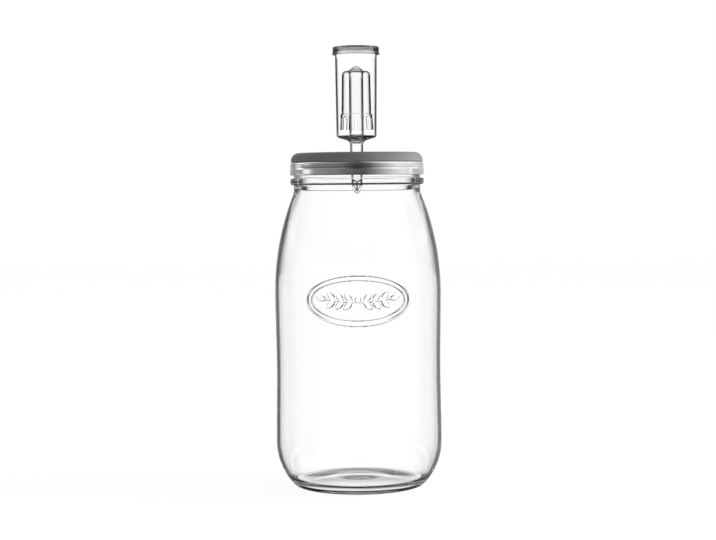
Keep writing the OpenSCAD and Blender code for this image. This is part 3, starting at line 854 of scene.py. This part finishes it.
# Levels of the room by degrees from the front: at the height of the band, below it and above it
slit_level = 0.8
under_dim = 0.95
low_room = (
    (-165, 0.45), (-139, 0.22), (-124, 0.86), (-115, 0.86), (-107, 0.21), (-55, 0.14), (-23, 0.12),
    (-20, 0.08), (-3, 0.035), (8, 0.04), (24, 0.1), (50, 0.45), (72, 0.78), (110, 0.66), (122, 0.74),
    (142, 0.54),
)
under_room = tuple((degrees, under_dim * level) for degrees, level in low_room if level < slit_level)
high_room = (
    (-165, 0.4), (-135, 0.25), (-110, 0.22), (-103, 0.9), (-92, 1.0), (-84, 0.4), (-76, 0.24), (-35, 0.19),
    (-22, 0.14), (0, 0.1), (13, 0.085), (32, 0.22), (55, 0.46), (78, 0.68), (95, 0.64), (104, 1.0),
    (115, 0.42),
)

world = bpy.data.worlds.new("studio")
scene.world = world
world.use_nodes = True
tree = world.node_tree
tree.nodes.clear()
ray = add(tree, "ShaderNodeLightPath")
look = add(tree, "ShaderNodeTexCoord")
right, back, up = add(tree, "ShaderNodeSeparateXYZ", {0: look.outputs["Generated"]}).outputs
tilt = add(tree, "ShaderNodeMath", {"operation": "ABSOLUTE", 0: up})
# How far a wall leans that mirrors this direction to the front: the height over the cosine of half the angle
half = add(tree, "ShaderNodeMapRange", {
    "Value": back, "From Min": -1.0, "From Max": 0.98, "To Min": 1.0, "To Max": 0.01,
})
cosine = add(tree, "ShaderNodeMath", {"operation": "SQRT", 0: half})
lean = add(tree, "ShaderNodeMath", {"operation": "DIVIDE", 0: up, 1: cosine})
# Smooth changes with the direction: a name, the value, where the change starts and ends, and both its levels
change = {}
for name, value, start, end, first, last in (
    ("twice", tilt, 0.1, 0.25, 0.03, 0.9),
    ("left", right, -0.05, 0.05, 0.5, 0.15),
    ("below", up, -0.02, 0.0, 1.0, 0.05),
    ("roof", up, 0.2, 0.5, 1.0, 0.05),
    ("low_room", lean, -0.02, 0.01, 0.0, 1.0),
    ("high_room", lean, 0.045, 0.065, 0.0, 1.0),
    ("high_room_end", lean, 0.12, 0.2, 1.0, 0.0),
    ("lamp", up, 0.15, 0.35, 1.4, 2.2),
    ("steep", up, -0.9, -0.6, 0.3, 1.0),
    ("floor_mirror", up, -0.3, -0.08, 0.5, 1.4),
):
    change[name] = add(tree, "ShaderNodeMapRange", {
        "interpolation_type": "SMOOTHSTEP", "Value": value,
        "From Min": start, "From Max": end, "To Min": first, "To Max": last,
    })
beside = add(tree, "ShaderNodeMath", {"operation": "MULTIPLY", 0: change["left"], 1: change["below"]})
glances = ray.outputs["Glossy Depth"]
around = panels(tree, right, back, glances, beside, dim=0.03, twice=change["twice"], white=1.06, edge=8)
through = add(tree, "ShaderNodeMath", {"operation": "MULTIPLY", 0: around, 1: change["roof"]})
touched = add(tree, "ShaderNodeMath", {"operation": "MINIMUM", 0: glances, 1: 1.0})
# Bright bands that only glanced light sees, by the heights where each starts, is full, goes down and ends. No
# direction is higher than 1 or lower than -1, so the first band has no end and the last one no start.
for starts, full, drops, ends, level in (
    (0.25, 0.45, 2.0, 3.0, 1.0),
    (0.12, 0.15, 0.2, 0.24, 1.0),
    (-3.0, -2.0, -0.055, -0.05, 0.9),
):
    inside = touched
    for start, end, first, last in ((starts, full, 0.0, 1.0), (drops, ends, 1.0, 0.0)):
        fade = add(tree, "ShaderNodeMapRange", {
            "interpolation_type": "SMOOTHSTEP", "Value": up,
            "From Min": start, "From Max": end, "To Min": first, "To Max": last,
        })
        inside = add(tree, "ShaderNodeMath", {"operation": "MULTIPLY", 0: inside, 1: fade})
    through = add(tree, "ShaderNodeMix", {0: inside, 2: through, 3: level})
# Rays from glass and metal that the floor has let pass see the panels and the room go on below it
passed = add(tree, "ShaderNodeMath", {"operation": "MINIMUM", 0: ray.outputs["Transparent Depth"], 1: 1.0})
around = panels(tree, right, back, glances, change["left"], dim=0.06, twice=0.9, white=1.07, edge=14)
around = add(tree, "ShaderNodeMath", {"operation": "MULTIPLY", 0: around, 1: change["steep"]})
through = add(tree, "ShaderNodeMix", {0: passed, 2: through, 3: around})
below, beyond, above = (room(tree, right, back, stops) for stops in (under_room, low_room, high_room))
walls = add(tree, "ShaderNodeMix", {0: change["low_room"], 2: below, 3: beyond})
leaning = add(tree, "ShaderNodeMath", {
    "operation": "MULTIPLY", 0: change["high_room"], 1: change["high_room_end"],
})
walls = add(tree, "ShaderNodeMix", {0: leaning, 2: walls, 3: above})
mirror = add(tree, "ShaderNodeMath", {"operation": "MULTIPLY", 0: walls, 1: change["lamp"]})
low_mirror = add(tree, "ShaderNodeMath", {"operation": "MULTIPLY", 0: beyond, 1: change["floor_mirror"]})
mirror = add(tree, "ShaderNodeMix", {0: passed, 2: mirror, 3: low_mirror})
level = add(tree, "ShaderNodeMix", {0: ray.outputs["Is Glossy Ray"], 2: 0.55, 3: mirror})
level = add(tree, "ShaderNodeMix", {0: ray.outputs["Is Transmission Ray"], 2: level, 3: through})
level = add(tree, "ShaderNodeMix", {0: ray.outputs["Is Camera Ray"], 2: level, 3: 1.0})
sky = add(tree, "ShaderNodeBackground", {"Color": (1, 1, 1, 1), "Strength": level})
add(tree, "ShaderNodeOutputWorld", {"Surface": sky})

floor_half = 4.0
floor_drop = 0.2
corners = np.array(((-1, -1, 0), (1, -1, 0), (1, 1, 0), (-1, 1, 0)))
floor = shell("floor", corners * floor_half - (0, 0, floor_drop * MM), [[0, 1, 2, 3]])

# Matt white background paper: nearly plain white to the eye, with a faint shadow. Rays from glass and metal
# pass it and see the studio go on, and under the jar, where the floor lies in the jar's shade, glass sees a
# painted glow of plain white.
glow_patch_r = 45.0
glow_patch_edge = 10.0
paper, tree = finish("white_floor")
ray = add(tree, "ShaderNodeLightPath")
spot = add(tree, "ShaderNodeTexCoord")
spot_x, spot_y, _ = add(tree, "ShaderNodeSeparateXYZ", {0: spot.outputs["Object"]}).outputs
flat = add(tree, "ShaderNodeCombineXYZ", {"X": spot_x, "Y": spot_y})
reach = add(tree, "ShaderNodeVectorMath", {"operation": "LENGTH", 0: flat}).outputs["Value"]
# Painted light: a disc under the jar glows plain white for rays through the glass, though the floor there
# lies in the jar's shade.
under = add(tree, "ShaderNodeMapRange", {
    "interpolation_type": "SMOOTHSTEP", "Value": reach,
    "From Min": glow_patch_r * MM, "From Max": (glow_patch_r + glow_patch_edge) * MM, "To Min": 1.0, "To Max": 0.0,
})
under = add(tree, "ShaderNodeMath", {
    "operation": "MULTIPLY", 0: under, 1: ray.outputs["Is Transmission Ray"],
})
pass_by = add(tree, "ShaderNodeBsdfTransparent")
# The painted glow under the jar: plain white light at strength 1, seen only through the glass.
white = add(tree, "ShaderNodeEmission", {"Strength": 1.0})
seen = add(tree, "ShaderNodeMixShader", {0: under, 1: pass_by, 2: white})
lit = add(tree, "ShaderNodeBsdfDiffuse", {"Color": colour("#f4f4f4")})
plain = add(tree, "ShaderNodeEmission", {"Strength": 1.06})
shade = add(tree, "ShaderNodeMixShader", {0: 0.12, 1: plain, 2: lit})
first = add(tree, "ShaderNodeMixShader", {0: ray.outputs["Is Camera Ray"], 1: lit, 2: shade})
by_glass = add(tree, "ShaderNodeMath", {
    "operation": "MAXIMUM", 0: ray.outputs["Is Transmission Ray"], 1: ray.outputs["Is Glossy Ray"],
})
second = add(tree, "ShaderNodeMixShader", {0: by_glass, 1: first, 2: seen})
add(tree, "ShaderNodeOutputMaterial", {"Surface": second})
floor.data.materials.append(paper)

lamp = bpy.data.lights.new("soft_box", "AREA")
lamp.shape = "RECTANGLE"
lamp.size, lamp.size_y, lamp.energy = 0.5, 0.6, 30.0
lamp_aim = Vector((0, 0, 0.26))
soft_box = bpy.data.objects.new("soft_box", lamp)
soft_box.location = (1.3, 0.0, 0.5)
soft_box.rotation_euler = (lamp_aim - soft_box.location).to_track_quat("-Z", "Y").to_euler()
soft_box.visible_glossy = False
soft_box.visible_transmission = False
scene.collection.objects.link(soft_box)

image_w = 716
pixels_per_mm = 1.208
eye_z = 252.0
aim_z = 178.5
distance = 1420.0
axis_shift = 0.2
roll = math.radians(-0.51)
lens = bpy.data.cameras.new("camera")
lens.sensor_width = 36.0
lens.lens = lens.sensor_width * pixels_per_mm * distance / image_w
camera = bpy.data.objects.new("camera", lens)
camera.location = Vector((axis_shift, -distance, eye_z)) * MM
aim = Vector((axis_shift, 0, aim_z)) * MM - camera.location
level_view = aim.to_track_quat("-Z", "Y").to_matrix()
camera.rotation_euler = (level_view @ Euler((0, 0, roll)).to_matrix()).to_euler()
scene.collection.objects.link(camera)
scene.camera = camera
